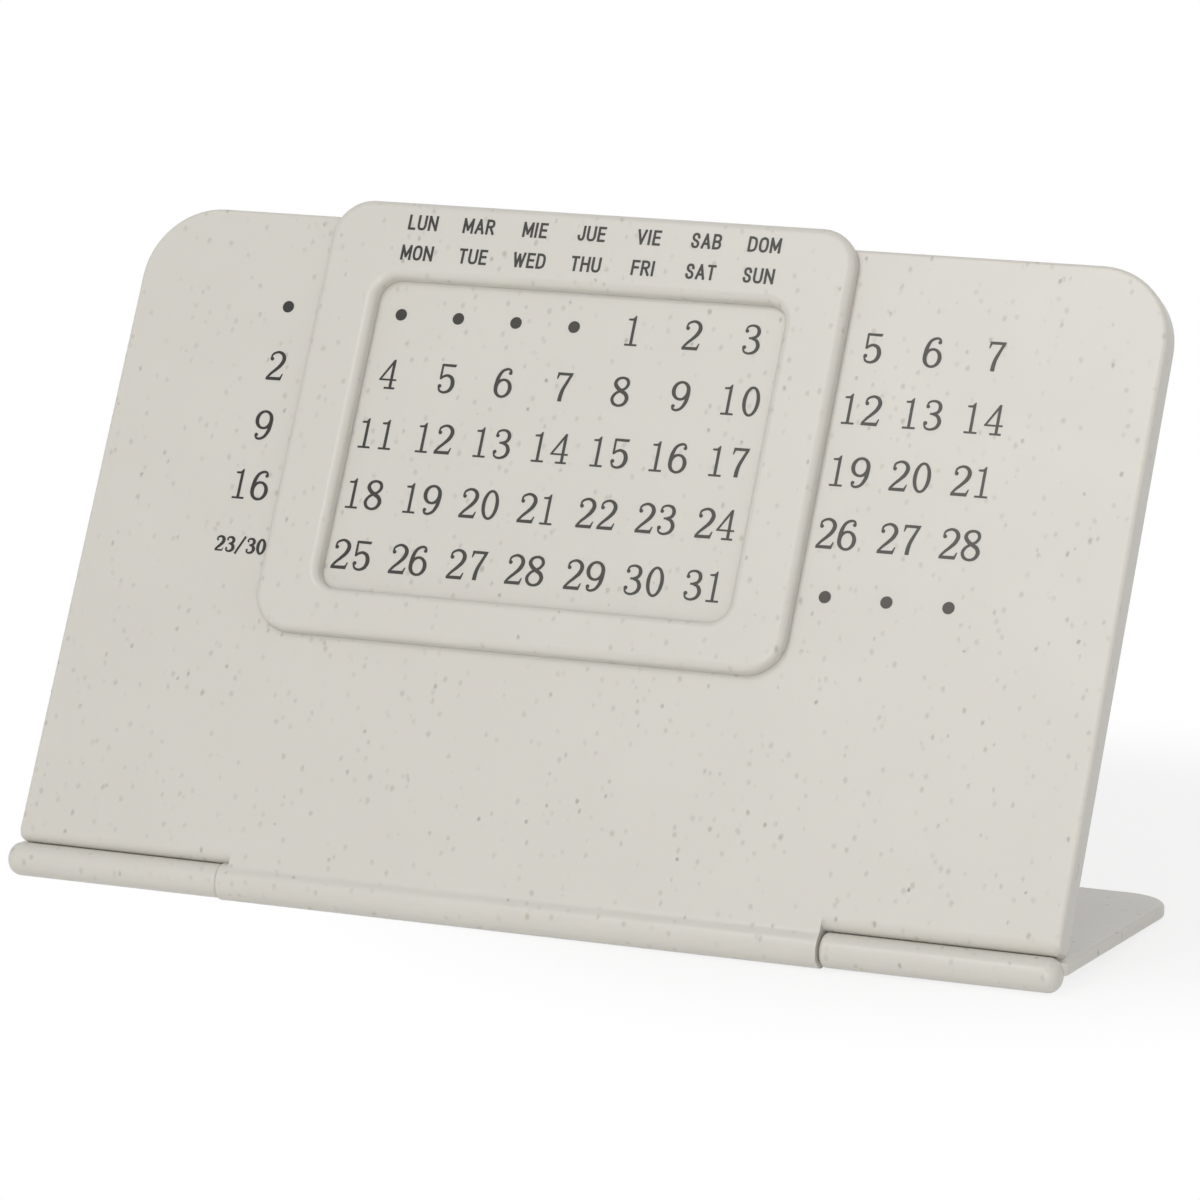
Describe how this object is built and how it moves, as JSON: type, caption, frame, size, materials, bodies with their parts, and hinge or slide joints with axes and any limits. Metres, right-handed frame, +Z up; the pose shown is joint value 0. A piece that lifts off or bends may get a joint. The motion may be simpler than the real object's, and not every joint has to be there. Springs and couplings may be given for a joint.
{
  "type": "perpetual desk calendar",
  "caption": "Perpetual desk calendar: a leaning date panel hinged to a folding foot, with a window frame that slides along the panel's top edge to set the weekday.",
  "frame": {"origin": "on the desk, under the middle of the calendar's box", "axes": "+X along the hinge to the right as seen from the front, +Y to the back, +Z up; the panel faces -Y"},
  "size_m": [0.1526, 0.0514, 0.0893],
  "materials": {
    "straw_plastic": "satin, moulded, with fine straw flecks"
  },
  "bodies": {
    "foot": {"foot": "straw_plastic"},
    "panel": {"date_panel": "straw_plastic"},
    "slider": {"window_slider": "straw_plastic"}
  },
  "joints": [
    {"name": "panel_hinge", "type": "hinge", "parent": "foot", "child": "panel", "pos_m": [0, -0.0232, 0.0025], "axis": [1, 0, 0], "range_deg": [0, 115]},
    {"name": "slider_travel", "type": "slide", "parent": "panel", "child": "slider", "axis": [1, 0, 0], "range_m": [-0.01805, 0.03355]}
  ]
}
